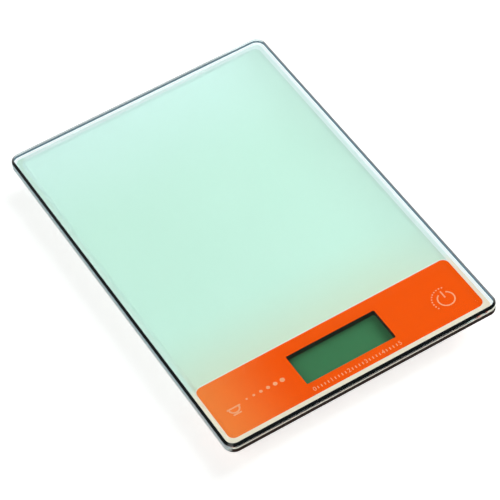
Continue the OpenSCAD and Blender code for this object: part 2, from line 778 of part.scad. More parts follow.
// A foot turned about its axis: sole with a pad recess, retaining flange, stem and pin
module foot(c) {
  stem_r = 4;
  flange_t = 1;
  lip_z = pad_t / 2;
  gusset_h = 2;
  color("#c9cdca") at_foot(c) {
    rotate_extrude() polygon([
      [0, pad_t], [pad_r + 0.1, pad_t], [pad_r + 0.1, lip_z], [foot_r - 0.6, lip_z], [foot_r, lip_z + 0.6],
      [foot_r, z_flange], [flange_r, z_flange], [flange_r, z_flange + flange_t],
      [stem_r, z_flange + flange_t], [stem_r, z_cell], [pin_r, z_cell], [pin_r, z_pin],
      [0, z_pin]
    ]);
    for (turn = [0:45:135]) rotate([90, 0, turn]) linear_extrude(rib_t, center = true)
      translate([0, z_flange + flange_t - 0.2])
        polygon([
          [-foot_r + 0.6, 0], [foot_r - 0.6, 0], [foot_r - 0.6, 0.4], [stem_r, gusset_h],
          [-stem_r, gusset_h], [-foot_r + 0.6, 0.4]
        ]);
  }
}

module foot_pad(c) {
  color("#55595a") at_foot(c) rotate_extrude()
    polygon([[0, 0], [pad_r - 0.5, 0], [pad_r, 0.5], [pad_r, pad_t], [0, pad_t]]);
}

// ---- Assembly ----

glass_platform();
mint_print();
band_print();
border_print();
bonding_tape();
touch_electrode();
upper_housing();
base_cover();
cover_screws();
display_frame();
display_glass();
light_guide();
zebra_strip();
main_board();
board_parts();
chip_blob();
board_screws();
switch_body();
switch_plunger();
unit_button();
coin_cell();
positive_contact();
negative_contact();
positive_lead();
negative_lead();
battery_door();
strain_gauges();
bracket_screws();
for (c = CORNERS) {
  load_cell(c);
  cell_bracket(c);
  cell_lead(c);
  foot(c);
  foot_pad(c);
}
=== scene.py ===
import math

import bmesh
import bpy
from mathutils import Matrix, Vector


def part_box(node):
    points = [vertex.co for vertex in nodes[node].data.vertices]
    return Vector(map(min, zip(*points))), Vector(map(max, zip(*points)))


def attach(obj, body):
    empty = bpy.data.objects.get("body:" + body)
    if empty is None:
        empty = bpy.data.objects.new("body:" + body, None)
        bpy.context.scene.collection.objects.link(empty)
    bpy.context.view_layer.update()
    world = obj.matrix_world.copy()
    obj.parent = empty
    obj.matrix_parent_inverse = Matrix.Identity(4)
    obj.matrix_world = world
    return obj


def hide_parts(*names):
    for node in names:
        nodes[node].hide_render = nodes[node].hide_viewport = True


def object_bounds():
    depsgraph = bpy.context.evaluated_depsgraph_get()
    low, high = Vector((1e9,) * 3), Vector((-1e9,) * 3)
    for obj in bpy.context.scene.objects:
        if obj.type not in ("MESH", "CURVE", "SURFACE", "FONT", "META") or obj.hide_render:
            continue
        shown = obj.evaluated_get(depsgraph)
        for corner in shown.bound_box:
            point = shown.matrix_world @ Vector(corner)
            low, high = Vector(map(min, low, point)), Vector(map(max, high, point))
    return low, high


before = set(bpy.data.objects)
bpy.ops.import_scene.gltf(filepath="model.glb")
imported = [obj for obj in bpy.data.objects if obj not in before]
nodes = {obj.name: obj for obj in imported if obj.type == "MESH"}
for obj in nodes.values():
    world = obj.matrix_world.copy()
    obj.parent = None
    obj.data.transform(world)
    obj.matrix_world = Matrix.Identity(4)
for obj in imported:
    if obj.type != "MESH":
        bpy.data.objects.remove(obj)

cad_low, cad_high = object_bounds()
MM = 0.001
CORNERS = ("front_left", "front_right", "back_left", "back_right")
WAVE = math.pi / 10  # a Wave texture at scale 1 repeats every pi / 10 of a unit


# ---- Camera, light and floor ----

# The point on the glass that the camera looks at, and where it stands, round to the left of the front
AIM = Vector((-0.0056, -0.01385, cad_high.z))
CAMERA_AZIMUTH = math.radians(25.88)
CAMERA_ELEVATION = math.radians(49.61)
CAMERA_ROLL = math.radians(-6.94)
CAMERA_DISTANCE = 1.2018
FOCAL_LENGTH = 177.9
SENSOR_WIDTH = 36


def make_camera():
    data = bpy.data.cameras.new("camera")
    data.sensor_width = SENSOR_WIDTH
    data.lens = FOCAL_LENGTH
    data.clip_end = 20
    camera = bpy.data.objects.new("camera", data)
    bpy.context.collection.objects.link(camera)
    level = math.cos(CAMERA_ELEVATION)
    away = Vector((
        -level * math.sin(CAMERA_AZIMUTH), -level * math.cos(CAMERA_AZIMUTH), math.sin(CAMERA_ELEVATION)
    ))
    turn = away.to_track_quat("Z", "Y").to_matrix().to_4x4()
    roll = Matrix.Rotation(CAMERA_ROLL, 4, "Z")
    camera.matrix_world = Matrix.Translation(AIM + CAMERA_DISTANCE * away) @ turn @ roll
    bpy.context.scene.camera = camera


make_camera()


def linear(hex_code):
    """An sRGB hex colour as the linear values that shaders take."""
    channels = [int(hex_code[i:i + 2], 16) / 255 for i in (1, 3, 5)]
    return [c / 12.92 if c <= 0.04045 else ((c + 0.055) / 1.055) ** 2.4 for c in channels] + [1.0]


def add(tree, kind, links=None, **settings):
    """Adds a node. links gives each input a value or another node's output."""
    made = tree.nodes.new(kind)
    for name, value in settings.items():
        setattr(made, name, value)
    for socket, source in (links or {}).items():
        if isinstance(source, bpy.types.NodeSocket):
            tree.links.new(source, made.inputs[socket])
        else:
            made.inputs[socket].default_value = source
    return made


def per(size):
    """Scale of a texture whose features are this many millimetres across."""
    return 1 / (size * MM)


def new_material(name):
    material = bpy.data.materials.new(name)
    material.use_nodes = True
    material.node_tree.nodes.clear()
    return material, material.node_tree


def finish_material(material, shader):
    add(material.node_tree, "ShaderNodeOutputMaterial", {"Surface": shader})
    return material


def make_world():
    """White round the horizon, as a paper sweep is, and dim overhead, so glass shows deep colour."""
    dim = 0.06
    horizon_top = 0.28  # where the white has faded out, as the sine of the height above the horizon
    world = bpy.data.worlds.new("studio")
    world.use_nodes = True
    tree = world.node_tree
    tree.nodes.clear()
    way = add(tree, "ShaderNodeSeparateXYZ", {0: add(tree, "ShaderNodeTexCoord").outputs["Generated"]})
    horizon = add(tree, "ShaderNodeMapRange", {
        "Value": way.outputs["Z"], "From Min": 0.05, "From Max": horizon_top, "To Min": 1.0, "To Max": 0.0
    }, interpolation_type="SMOOTHSTEP")
    path = add(tree, "ShaderNodeLightPath")
    clear = add(tree, "ShaderNodeMath", {
        0: path.outputs["Is Glossy Ray"], 1: path.outputs["Is Transmission Ray"]
    }, operation="MAXIMUM")
    band = add(tree, "ShaderNodeMath", {0: clear.outputs[0], 1: horizon.outputs[0]}, operation="MULTIPLY")
    seen = add(tree, "ShaderNodeMath", {0: path.outputs["Is Camera Ray"], 1: band.outputs[0]},
               operation="MAXIMUM")
    soft = add(tree, "ShaderNodeBackground", {"Color": linear("#ffffff"), "Strength": dim})
    white = add(tree, "ShaderNodeBackground", {"Color": linear("#ffffff"), "Strength": 1.0})
    mix = add(tree, "ShaderNodeMixShader", {0: seen.outputs[0], 1: soft.outputs[0], 2: white.outputs[0]})
    add(tree, "ShaderNodeOutputWorld", {"Surface": mix.outputs[0]})
    bpy.context.scene.world = world


def make_lamp(name, place, size, power, tint):
    """A square softbox that faces the origin."""
    data = bpy.data.lights.new(name, "AREA")
    data.shape = "SQUARE"
    data.size = size
    data.energy = power
    data.color = linear(tint)[:3]
    lamp = bpy.data.objects.new(name, data)
    bpy.context.collection.objects.link(lamp)
    turn = place.to_track_quat("Z", "Y").to_matrix().to_4x4()
    lamp.matrix_world = Matrix.Translation(place) @ turn


def make_floor():
    """Pale paper. To the eye it glows enough to reach white, and it keeps the shadow of the scale."""
    half_side = 4
    glow_strength = 0.64  # with the lamps' light, this brings the paper just to white
    bm = bmesh.new()
    bmesh.ops.create_grid(bm, x_segments=1, y_segments=1, size=half_side)
    mesh = bpy.data.meshes.new("floor")
    bm.to_mesh(mesh)
    bm.free()
    floor = bpy.data.objects.new("floor", mesh)
    bpy.context.collection.objects.link(floor)
    material, tree = new_material("white_paper_sweep")
    path = add(tree, "ShaderNodeLightPath")
    clear = add(tree, "ShaderNodeMath", {
        0: path.outputs["Is Glossy Ray"], 1: path.outputs["Is Transmission Ray"]
    }, operation="MAXIMUM")
    seen = add(tree, "ShaderNodeMath", {0: path.outputs["Is Camera Ray"], 1: clear.outputs[0]},
               operation="MAXIMUM")
    matt = add(tree, "ShaderNodeBsdfDiffuse", {"Color": linear("#f2f2f2")})
    glow = add(tree, "ShaderNodeEmission", {"Color": linear("#ffffff"), "Strength": glow_strength})
    lit = add(tree, "ShaderNodeAddShader", {0: matt.outputs[0], 1: glow.outputs[0]})
    mix = add(tree, "ShaderNodeMixShader", {0: seen.outputs[0], 1: matt.outputs[0], 2: lit.outputs[0]})
    mesh.materials.append(finish_material(material, mix.outputs[0]))


make_world()
make_lamp("window_right", Vector((0.95, 0.25, 0.85)), 0.8, 10.1, "#f6fcff")
make_lamp("softbox_left", Vector((-0.9, -0.5, 1.2)), 1.2, 7.3, "#fffdf6")
make_floor()


# ---- Helpers for pieces ----

def piece(name, bm, materials):
    """Turns a bmesh into a flat-shaded object that rides with the glass and the housing."""
    mesh = bpy.data.meshes.new(name)
    bm.to_mesh(mesh)
    bm.free()
    obj = bpy.data.objects.new(name, mesh)
    bpy.context.collection.objects.link(obj)
    for material in materials:
        mesh.materials.append(material)
    for face in mesh.polygons:
        face.use_smooth = False
    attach(obj, "scale")
    return obj


def dress(node, material):
    """Gives a node of the model its material."""
    mesh = nodes[node].data
    mesh.materials.clear()
    mesh.materials.append(material)


# ---- Materials ----

GLASS_IOR = 1.52


def finish_glass(material, shader, tint):
    """Finishes a material of the glass. Shadow rays pass through it, so what lies under it stays lit."""
    tree = material.node_tree
    path = add(tree, "ShaderNodeLightPath")
    clear = add(tree, "ShaderNodeBsdfTransparent", {"Color": linear(tint)})
    mix = add(tree, "ShaderNodeMixShader", {
        0: path.outputs["Is Shadow Ray"], 1: shader, 2: clear.outputs[0]
    })
    return finish_material(material, mix.outputs[0])


def float_glass(name, tint):
    """Clear tempered float glass, faintly green. Its fire-polished faces give sharp reflections."""
    material, tree = new_material(name)
    glass = add(tree, "ShaderNodeBsdfPrincipled", {
        "Base Color": linear(tint), "Roughness": 0.0, "IOR": GLASS_IOR, "Transmission Weight": 1.0
    })
    return finish_glass(material, glass.outputs[0], "#fbfefd")


def ground_side(name, painted_shadow_share, grey):
    """Side of the glass, ground and buffed, with painted shade: the left side is painted grey, and the foot
    in front is painted dark brown as the shadow under the front edge.

    From inside the glass, and on the other sides, it is clear.
    """
    material, tree = new_material(name)
    glass = add(tree, "ShaderNodeBsdfPrincipled", {
        "Base Color": linear("#c6d2d6"), "Roughness": 0.2, "IOR": GLASS_IOR, "Transmission Weight": 1.0
    })
    place = add(tree, "ShaderNodeTexCoord").outputs["Object"]
    axis = add(tree, "ShaderNodeSeparateXYZ", {0: place})
    # painted shadow: along the front the foot is painted dark brown, as the shade under the plate's front
    # edge
    painted_shadow_front = add(tree, "ShaderNodeMapRange", {
        "Value": axis.outputs["Y"], "From Min": cad_low.y + 3 * MM, "From Max": cad_low.y + 1 * MM,
        "To Max": painted_shadow_share
    })
    # painted shade: along the left the side is painted grey, as the shadow beneath the plate's left edge
    left = add(tree, "ShaderNodeMapRange", {
        "Value": axis.outputs["X"], "From Min": cad_low.x + 3 * MM, "From Max": cad_low.x + 1 * MM,
        "To Max": 0.8
    })
    grit = add(tree, "ShaderNodeTexNoise", {"Vector": place, "Scale": per(0.4), "Detail": 3.0})
    # the dark brown of the painted shadow, mottled by noise
    brown = add(tree, "ShaderNodeMix", {
        0: grit.outputs["Fac"], 6: linear("#1e0f08"), 7: linear("#341c10")
    }, data_type="RGBA")
    tone = add(tree, "ShaderNodeMix", {0: painted_shadow_front.outputs[0], 6: linear(grey), 7: brown.outputs[2]},
               data_type="RGBA")
    stone = add(tree, "ShaderNodeBsdfPrincipled", {
        "Base Color": tone.outputs[2], "Roughness": 0.7, "IOR": GLASS_IOR, "Specular IOR Level": 0.15
    })
    most = add(tree, "ShaderNodeMath", {0: painted_shadow_front.outputs[0], 1: left.outputs[0]}, operation="MAXIMUM")
    inside = add(tree, "ShaderNodeNewGeometry").outputs["Backfacing"]
    share = add(tree, "ShaderNodeMath", {0: most.outputs[0], 1: inside}, operation="SUBTRACT",
                use_clamp=True)
    both = add(tree, "ShaderNodeMixShader", {0: share.outputs[0], 1: glass.outputs[0], 2: stone.outputs[0]})
    return finish_glass(material, both.outputs[0], "#fbfefd")


def ground_edge(name, glow):
    """Arris ground with a fine stone and buffed, and painted near black: the dark line it draws round clear
    glass is painted shade, standing in for the shaded space under the plate that the edge shows.

    Seen from inside the glass it lets a share of light through, as frosted glass does.
    """
    material, tree = new_material(name)
    place = add(tree, "ShaderNodeTexCoord").outputs["Object"]
    grit = add(tree, "ShaderNodeTexNoise", {"Vector": place, "Scale": per(0.15), "Detail": 3.0})
    # painted shade: the arris's near-black colour
    tone = add(tree, "ShaderNodeMix", {
        0: grit.outputs["Fac"], 6: linear("#0c1214"), 7: linear("#1a2427")
    }, data_type="RGBA")
    dull = add(tree, "ShaderNodeMapRange", {"Value": grit.outputs["Fac"], "To Min": 0.06, "To Max": 0.14})
    body = add(tree, "ShaderNodeBsdfPrincipled", {
        "Base Color": tone.outputs[2], "Roughness": dull.outputs[0], "IOR": GLASS_IOR
    })
    inside = add(tree, "ShaderNodeNewGeometry").outputs["Backfacing"]
    frost = add(tree, "ShaderNodeBsdfTranslucent", {"Color": linear(glow)})
    both = add(tree, "ShaderNodeMixShader", {0: inside, 1: body.outputs[0], 2: frost.outputs[0]})
    return finish_glass(material, both.outputs[0], "#f4faf7")


def moulded(name, colour, deep, roughness=0.5, grain=0.45, relief=0.008):
    """Injection moulded plastic. Tone drifts where the melt flowed, and the tool's grain dulls it."""
    material, tree = new_material(name)
    place = add(tree, "ShaderNodeTexCoord").outputs["Object"]
    flow = add(tree, "ShaderNodeTexNoise", {"Vector": place, "Scale": per(24), "Detail": 2.0})
    fine = add(tree, "ShaderNodeTexNoise", {"Vector": place, "Scale": per(grain), "Detail": 3.0})
    tone = add(tree, "ShaderNodeMix", {0: flow.outputs["Fac"], 6: linear(colour), 7: linear(deep)},
               data_type="RGBA")
    dull = add(tree, "ShaderNodeMapRange", {
        "Value": fine.outputs["Fac"], "To Min": roughness - 0.06, "To Max": roughness + 0.06
    })
    bump = add(tree, "ShaderNodeBump", {
        "Height": fine.outputs["Fac"], "Strength": 0.5, "Distance": relief * MM
    })
    body = add(tree, "ShaderNodeBsdfPrincipled", {
        "Base Color": tone.outputs[2], "Roughness": dull.outputs[0], "Normal": bump.outputs[0], "IOR": 1.54
    })
    return finish_material(material, body.outputs[0])


def metal(name, colour, worn, roughness=0.3, lines=0.25, along=(1.0, 0.06, 1.0)):
    """Metal with drawn or rolled lines, which stretch the highlights, and duller patches."""
    material, tree = new_material(name)
    place = add(tree, "ShaderNodeTexCoord").outputs["Object"]
    drawn = add(tree, "ShaderNodeMapping", {"Vector": place, "Scale": along})
    streak = add(tree, "ShaderNodeTexNoise", {
        "Vector": drawn.outputs[0], "Scale": per(lines), "Detail": 2.0
    })
    patch = add(tree, "ShaderNodeTexNoise", {"Vector": place, "Scale": per(6), "Detail": 3.0})
    tone = add(tree, "ShaderNodeMix", {0: patch.outputs["Fac"], 6: linear(colour), 7: linear(worn)},
               data_type="RGBA")
    dull = add(tree, "ShaderNodeMapRange", {
        "Value": streak.outputs["Fac"], "To Min": roughness - 0.08, "To Max": roughness + 0.1
    })
    bump = add(tree, "ShaderNodeBump", {
        "Height": streak.outputs["Fac"], "Strength": 0.4, "Distance": 0.003 * MM
    })
    body = add(tree, "ShaderNodeBsdfPrincipled", {
        "Base Color": tone.outputs[2], "Metallic": 1.0, "Roughness": dull.outputs[0],
        "Normal": bump.outputs[0]
    })
    return finish_material(material, body.outputs[0])


def printed(name, colour, pale, mesh=0.25, roughness=0.55, fades=()):
    """Screen-printed ink: the mesh of the screen leaves a faint even speckle, and the coat varies a little.

    Each fade is an axis, where it starts and ends in millimetres, and the tint that it ends in.
    """
    material, tree = new_material(name)
    place = add(tree, "ShaderNodeTexCoord").outputs["Object"]
    speckle = add(tree, "ShaderNodeTexVoronoi", {"Vector": place, "Scale": per(mesh), "Randomness": 0.35})
    coat = add(tree, "ShaderNodeTexNoise", {"Vector": place, "Scale": per(35), "Detail": 2.0})
    share = add(tree, "ShaderNodeMath", {0: speckle.outputs["Distance"], 1: coat.outputs["Fac"]},
                operation="MULTIPLY")
    tone = add(tree, "ShaderNodeMix", {0: share.outputs[0], 6: linear(colour), 7: linear(pale)},
               data_type="RGBA")
    axes = add(tree, "ShaderNodeSeparateXYZ", {0: place})
    for axis, start, end, tint in fades:
        reach = add(tree, "ShaderNodeMapRange", {
            "Value": axes.outputs[axis], "From Min": start * MM, "From Max": end * MM
        }, interpolation_type="SMOOTHSTEP")
        tone = add(tree, "ShaderNodeMix", {0: reach.outputs[0], 6: tone.outputs[2], 7: linear(tint)},
                   data_type="RGBA")
    body = add(tree, "ShaderNodeBsdfPrincipled", {
        "Base Color": tone.outputs[2], "Roughness": roughness, "IOR": 1.5, "Specular IOR Level": 0.0
    })
    return finish_material(material, body.outputs[0])


def border_ink():
    """White ink. It is painted cream round the orange, as the orange's light spilling onto it, and it is
    cool round the mint and greener along the left side.
    """
    material, tree = new_material("white_border_ink")
    place = add(tree, "ShaderNodeTexCoord").outputs["Object"]
    axis = add(tree, "ShaderNodeSeparateXYZ", {0: place})
    side = add(tree, "ShaderNodeMapRange", {
        "Value": axis.outputs["Y"], "From Min": -76 * MM, "From Max": -66 * MM
    }, interpolation_type="SMOOTHSTEP")
    speckle = add(tree, "ShaderNodeTexNoise", {"Vector": place, "Scale": per(0.3), "Detail": 2.0})
    left = add(tree, "ShaderNodeMapRange", {
        "Value": axis.outputs["X"], "From Min": -66 * MM, "From Max": -69 * MM
    }, interpolation_type="SMOOTHSTEP")
    cool = add(tree, "ShaderNodeMix", {
        0: left.outputs[0], 6: linear("#ebfcfc"), 7: linear("#d6f5e9")
    }, data_type="RGBA")
    # painted light: cream where the orange's light spills onto the white ink by the band
    tone = add(tree, "ShaderNodeMix", {
        0: side.outputs[0], 6: linear("#fff0da"), 7: cool.outputs[2]
    }, data_type="RGBA")
    coat = add(tree, "ShaderNodeMapRange", {"Value": speckle.outputs["Fac"], "To Max": 0.25})
    less = add(tree, "ShaderNodeMix", {
        0: coat.outputs[0], 6: tone.outputs[2], 7: linear("#f0f4ea")
    }, data_type="RGBA")
    body = add(tree, "ShaderNodeBsdfPrincipled", {"Base Color": less.outputs[2], "Roughness": 0.7})
    return finish_material(material, body.outputs[0])


def axis_of(node):
    """Where the axis of a round node stands, in millimetres."""
    low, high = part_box(node)
    return [(low[i] + high[i]) / 2 / MM for i in (0, 1)]


def turned(name, colour, deep, centre, pitch, roughness=0.45, relief=0.01, folded=False, **shader):
    """A round piece with fine rings about its own axis. Folded, the rings repeat in all four quarters."""
    material, tree = new_material(name)
    place = add(tree, "ShaderNodeTexCoord").outputs["Object"]
    if folded:
        place = add(tree, "ShaderNodeVectorMath", {0: place}, operation="ABSOLUTE").outputs[0]
    own = add(tree, "ShaderNodeMapping", {
        "Vector": place, "Location": [-centre[0] * MM, -centre[1] * MM, 0]
    })
    rings = add(tree, "ShaderNodeTexWave", {
        "Vector": own.outputs[0], "Scale": WAVE * per(pitch), "Distortion": 0.15, "Detail": 1.0
    }, wave_type="RINGS", rings_direction="Z")
    grit = add(tree, "ShaderNodeTexNoise", {"Vector": place, "Scale": per(0.7), "Detail": 3.0})
    share = add(tree, "ShaderNodeMath", {0: rings.outputs["Fac"], 1: grit.outputs["Fac"]},
                operation="MULTIPLY")
    tone = add(tree, "ShaderNodeMix", {0: share.outputs[0], 6: linear(colour), 7: linear(deep)},
               data_type="RGBA")
    dull = add(tree, "ShaderNodeMapRange", {
        "Value": grit.outputs["Fac"], "To Min": roughness - 0.06, "To Max": roughness + 0.08
    })
    bump = add(tree, "ShaderNodeBump", {
        "Height": share.outputs[0], "Strength": 0.5, "Distance": relief * MM
    })
    body = add(tree, "ShaderNodeBsdfPrincipled", {
        "Base Color": tone.outputs[2], "Roughness": dull.outputs[0], "Normal": bump.outputs[0], **shader
    })
    return finish_material(material, body.outputs[0])


def striped(name, colour, line, pitch, share, roughness):
    """Fine parallel lines of one material laid in another, across the width of the scale."""
    material, tree = new_material(name)
    place = add(tree, "ShaderNodeTexCoord").outputs["Object"]
    wave = add(tree, "ShaderNodeTexWave", {"Vector": place, "Scale": WAVE * per(pitch)},
               wave_type="BANDS", bands_direction="X")
    sharp = add(tree, "ShaderNodeMapRange", {
        "Value": wave.outputs["Fac"], "From Min": share - 0.08, "From Max": share + 0.08
    })
    grain = add(tree, "ShaderNodeTexNoise", {"Vector": place, "Scale": per(0.4), "Detail": 3.0})
    tone = add(tree, "ShaderNodeMix", {0: sharp.outputs[0], 6: linear(line), 7: linear(colour)},
               data_type="RGBA")
    dull = add(tree, "ShaderNodeMapRange", {
        "Value": grain.outputs["Fac"], "To Min": roughness - 0.08, "To Max": roughness + 0.08
    })
    bump = add(tree, "ShaderNodeBump", {"Height": sharp.outputs[0], "Strength": 0.4, "Distance": 0.01 * MM})
    body = add(tree, "ShaderNodeBsdfPrincipled", {
        "Base Color": tone.outputs[2], "Roughness": dull.outputs[0], "Normal": bump.outputs[0]
    })
    return finish_material(material, body.outputs[0])


def foam():
    """Closed-cell polyethylene foam, whose cut cells make a soft, dull, pitted edge."""
    material, tree = new_material("closed_cell_foam")
    place = add(tree, "ShaderNodeTexCoord").outputs["Object"]
    cells = add(tree, "ShaderNodeTexVoronoi", {"Vector": place, "Scale": per(0.35)})
    tone = add(tree, "ShaderNodeMix", {
        0: cells.outputs["Distance"], 6: linear("#f0f0eb"), 7: linear("#cfcfc8")
    }, data_type="RGBA")
    bump = add(tree, "ShaderNodeBump", {
        "Height": cells.outputs["Distance"], "Strength": 0.8, "Distance": 0.08 * MM
    }, invert=True)
    body = add(tree, "ShaderNodeBsdfPrincipled", {
        "Base Color": tone.outputs[2], "Roughness": 0.9, "Normal": bump.outputs[0], "IOR": 1.5
    })
    return finish_material(material, body.outputs[0])


def solder_mask():
    """Glass fibre board under green solder mask: tracks show paler through it, and pads are tinned."""
    material, tree = new_material("green_solder_mask")
    place = add(tree, "ShaderNodeTexCoord").outputs["Object"]
    tracks = add(tree, "ShaderNodeTexBrick", {
        "Vector": place, "Color1": linear("#2a7447"), "Color2": linear("#2f7d4f"),
        "Mortar": linear("#4d9b66"), "Scale": per(1), "Brick Width": 5.2, "Row Height": 1.3,
        "Mortar Size": 0.14
    })
    pads = add(tree, "ShaderNodeTexVoronoi", {"Vector": place, "Scale": per(3.6), "Randomness": 0.8})
    bare = add(tree, "ShaderNodeMath", {0: pads.outputs["Distance"], 1: 0.14}, operation="LESS_THAN")
    tone = add(tree, "ShaderNodeMix", {
        0: bare.outputs[0], 6: tracks.outputs["Color"], 7: linear("#c3c7c4")
    }, data_type="RGBA")
    dull = add(tree, "ShaderNodeMapRange", {"Value": tracks.outputs["Fac"], "To Min": 0.28, "To Max": 0.38})
    bump = add(tree, "ShaderNodeBump", {
        "Height": tracks.outputs["Fac"], "Strength": 0.5, "Distance": 0.03 * MM
    })
    body = add(tree, "ShaderNodeBsdfPrincipled", {
        "Base Color": tone.outputs[2], "Roughness": dull.outputs[0], "Metallic": bare.outputs[0],
        "Normal": bump.outputs[0]
    })
    return finish_material(material, body.outputs[0])


def board_components():
    """Tan ceramic capacitors on the left, a drawn steel crystal can in front, black resistors behind."""
    material, tree = new_material("ceramic_and_steel_components")
    place = add(tree, "ShaderNodeTexCoord").outputs["Object"]
    axis = add(tree, "ShaderNodeSeparateXYZ", {0: place})
    left = add(tree, "ShaderNodeMath", {0: axis.outputs["X"], 1: -10 * MM}, operation="LESS_THAN")
    front = add(tree, "ShaderNodeMath", {0: axis.outputs["Y"], 1: -66 * MM}, operation="LESS_THAN")
    can = add(tree, "ShaderNodeMath", {0: front.outputs[0], 1: left.outputs[0]}, operation="SUBTRACT")
    grain = add(tree, "ShaderNodeTexNoise", {"Vector": place, "Scale": per(0.2), "Detail": 3.0})
    tan = add(tree, "ShaderNodeMix", {
        0: grain.outputs["Fac"], 6: linear("#b3946a"), 7: linear("#a58558")
    }, data_type="RGBA")
    black = add(tree, "ShaderNodeMix", {0: left.outputs[0], 6: linear("#1d1e20"), 7: tan.outputs[2]},
                data_type="RGBA")
    tone = add(tree, "ShaderNodeMix", {0: can.outputs[0], 6: black.outputs[2], 7: linear("#c6c9cb")},
               data_type="RGBA")
    dull = add(tree, "ShaderNodeMapRange", {"Value": grain.outputs["Fac"], "To Min": 0.25, "To Max": 0.4})
    body = add(tree, "ShaderNodeBsdfPrincipled", {
        "Base Color": tone.outputs[2], "Metallic": can.outputs[0], "Roughness": dull.outputs[0]
    })
    return finish_material(material, body.outputs[0])


# Injection moulded ABS. Its tool was spark eroded, which leaves a satin surface with a grain just
# visible close by. The housing, cover, door and brackets share the resin and differ in batch and gloss.
dress("upper_housing", moulded("white_satin_abs", "#f1f2ef", "#e9ebe6", roughness=0.42))
dress("base_cover", moulded("white_textured_abs", "#eeefec", "#e4e6e1", roughness=0.55, relief=0.02))
dress("battery_door", moulded("white_door_abs", "#f0f1ed", "#e6e8e3", roughness=0.5, relief=0.015))
dress("display_frame", moulded("black_moulded_abs", "#1b201e", "#222725", roughness=0.48))
dress("switch_body", moulded("black_glass_filled_nylon", "#2a2c2e", "#34373a", roughness=0.6, grain=0.25))
dress("switch_plunger", moulded("amber_nylon", "#d39c3c", "#c48d31", roughness=0.35, grain=0.3))
dress("bonding_tape", foam())
# Clear acrylic with printed dots, which scatter the lamp's light behind the display
dress("light_guide", printed("acrylic_with_white_dots", "#dfeed6", "#f4faef", mesh=0.8, roughness=0.2))

# Screen-printed ceramic inks, fired on the back of the glass. The mesh is drawn coarser than its
# real 0.1 mm, so that it shows.
# painted light on the mint: it turns greyer and warmer towards the band, as the orange's light spilling
# onto it, brighter towards the back, and darker towards the right as painted shade
dress("mint_print", printed("mint_ceramic_ink", "#d2f3e6", "#ddf9ef", fades=(
    ("Y", -30, -80, "#dbe8d5"), ("Y", 30, 120, "#def9f4"), ("X", 30, 100, "#cde6dc")
)))
# The band turns paler towards its left end
dress("band_print", printed("orange_ceramic_ink", "#ff5500", "#ff6208", fades=(
    ("X", -25, -80, "#ff8a42"),
)))
dress("border_print", border_ink())

# Polariser film over green liquid crystal glass, unlit
dress("display_glass", printed("green_polariser_film", "#427c54", "#47845b", roughness=0.3))
# Zebra connector: carbon-filled lines in pink silicone, drawn four times their real 0.1 mm pitch
dress("zebra_strip", striped("striped_silicone", "#dd8f9f", "#1f1b1c", 0.4, 0.45, roughness=0.55))
dress("main_board", solder_mask())
dress("board_parts", board_components())
# Epoxy drop over the chip: glossy, with a slight orange peel
dress("chip_blob", moulded("black_potting_epoxy", "#131416", "#1a1c1f", roughness=0.14, grain=1.2,
                           relief=0.03))

# Metals: drawn, rolled or plated, so their lines stretch the highlights
dress("touch_electrode", metal("bare_copper_foil", "#d8926c", "#b8734c", roughness=0.3, lines=0.3))
screw_zinc = metal("zinc_plated_steel", "#c4c8cb", "#a7acb0", roughness=0.34, lines=0.35,
                   along=(1.0, 1.0, 0.2))
for name in ("cover_screws", "board_screws", "bracket_screws"):
    dress(name, screw_zinc)
nickel_bronze = metal("nickel_plated_bronze", "#d6d0c2", "#bdb6a6", roughness=0.24)
for name in ("positive_contact", "negative_contact"):
    dress(name, nickel_bronze)
dress("coin_cell", turned("brushed_steel_can", "#cfd2d4", "#b4b8bb", axis_of("coin_cell"), 0.5,
                          roughness=0.26, relief=0.003, Metallic=1.0))

# Soft PVC extruded over the wires: even colour, satin, slightly rippled
dress("positive_lead", moulded("red_pvc_sleeve", "#b0241c", "#9e1f18", roughness=0.4, grain=0.8))
dress("negative_lead", moulded("black_pvc_sleeve", "#1c1c1d", "#262627", roughness=0.4, grain=0.8))

# Amber polyimide with the etched foil of the gauge, its legs drawn wider than their real 0.05 mm
dress("strain_gauges", striped("foil_on_polyimide", "#c98a3a", "#8f8a80", 0.5, 0.5, roughness=0.3))

# Round pieces cut or moulded in turned tools, so fine rings run round their axes
dress("unit_button", turned("grey_moulded_abs", "#8f9694", "#7f8684", axis_of("unit_button"), 0.6,
                            roughness=0.5, relief=0.03))
foot_axis = axis_of("foot_back_right")
foot_abs = turned("pale_grey_abs", "#c9cdca", "#bfc3c0", foot_axis, 1.6, roughness=0.5, relief=0.01,
                  folded=True)
pad_rubber = turned("grey_moulded_rubber", "#565b5d", "#464a4c", foot_axis, 1.1, roughness=0.8, relief=0.12,
                    folded=True)

# Under each corner: rolled spring steel, unpainted resin and soft PVC
spring_steel = metal("nickel_plated_spring_steel", "#b7bbbd", "#9fa4a7", roughness=0.3, lines=0.3,
                     along=(0.06, 1.0, 1.0))
bracket_abs = moulded("natural_abs", "#e6e6dd", "#dcdcd2", roughness=0.5)
lead_pvc = moulded("flat_red_pvc", "#c9483b", "#b53e32", roughness=0.45, grain=0.9)
for corner in CORNERS:
    dress(f"load_cell_{corner}", spring_steel)
    dress(f"cell_bracket_{corner}", bracket_abs)
    dress(f"cell_lead_{corner}", lead_pvc)
    dress(f"foot_{corner}", foot_abs)
    dress(f"foot_pad_{corner}", pad_rubber)


# ---- Glass platform ----

CLEAR, TOP_ARRIS, SIDE, BACK_ARRIS, RIM, PAINTED_SHADOW_FOOT = range(6)  # the plate's materials, in their order


def face_height(face):
    return face.calc_center_median().z


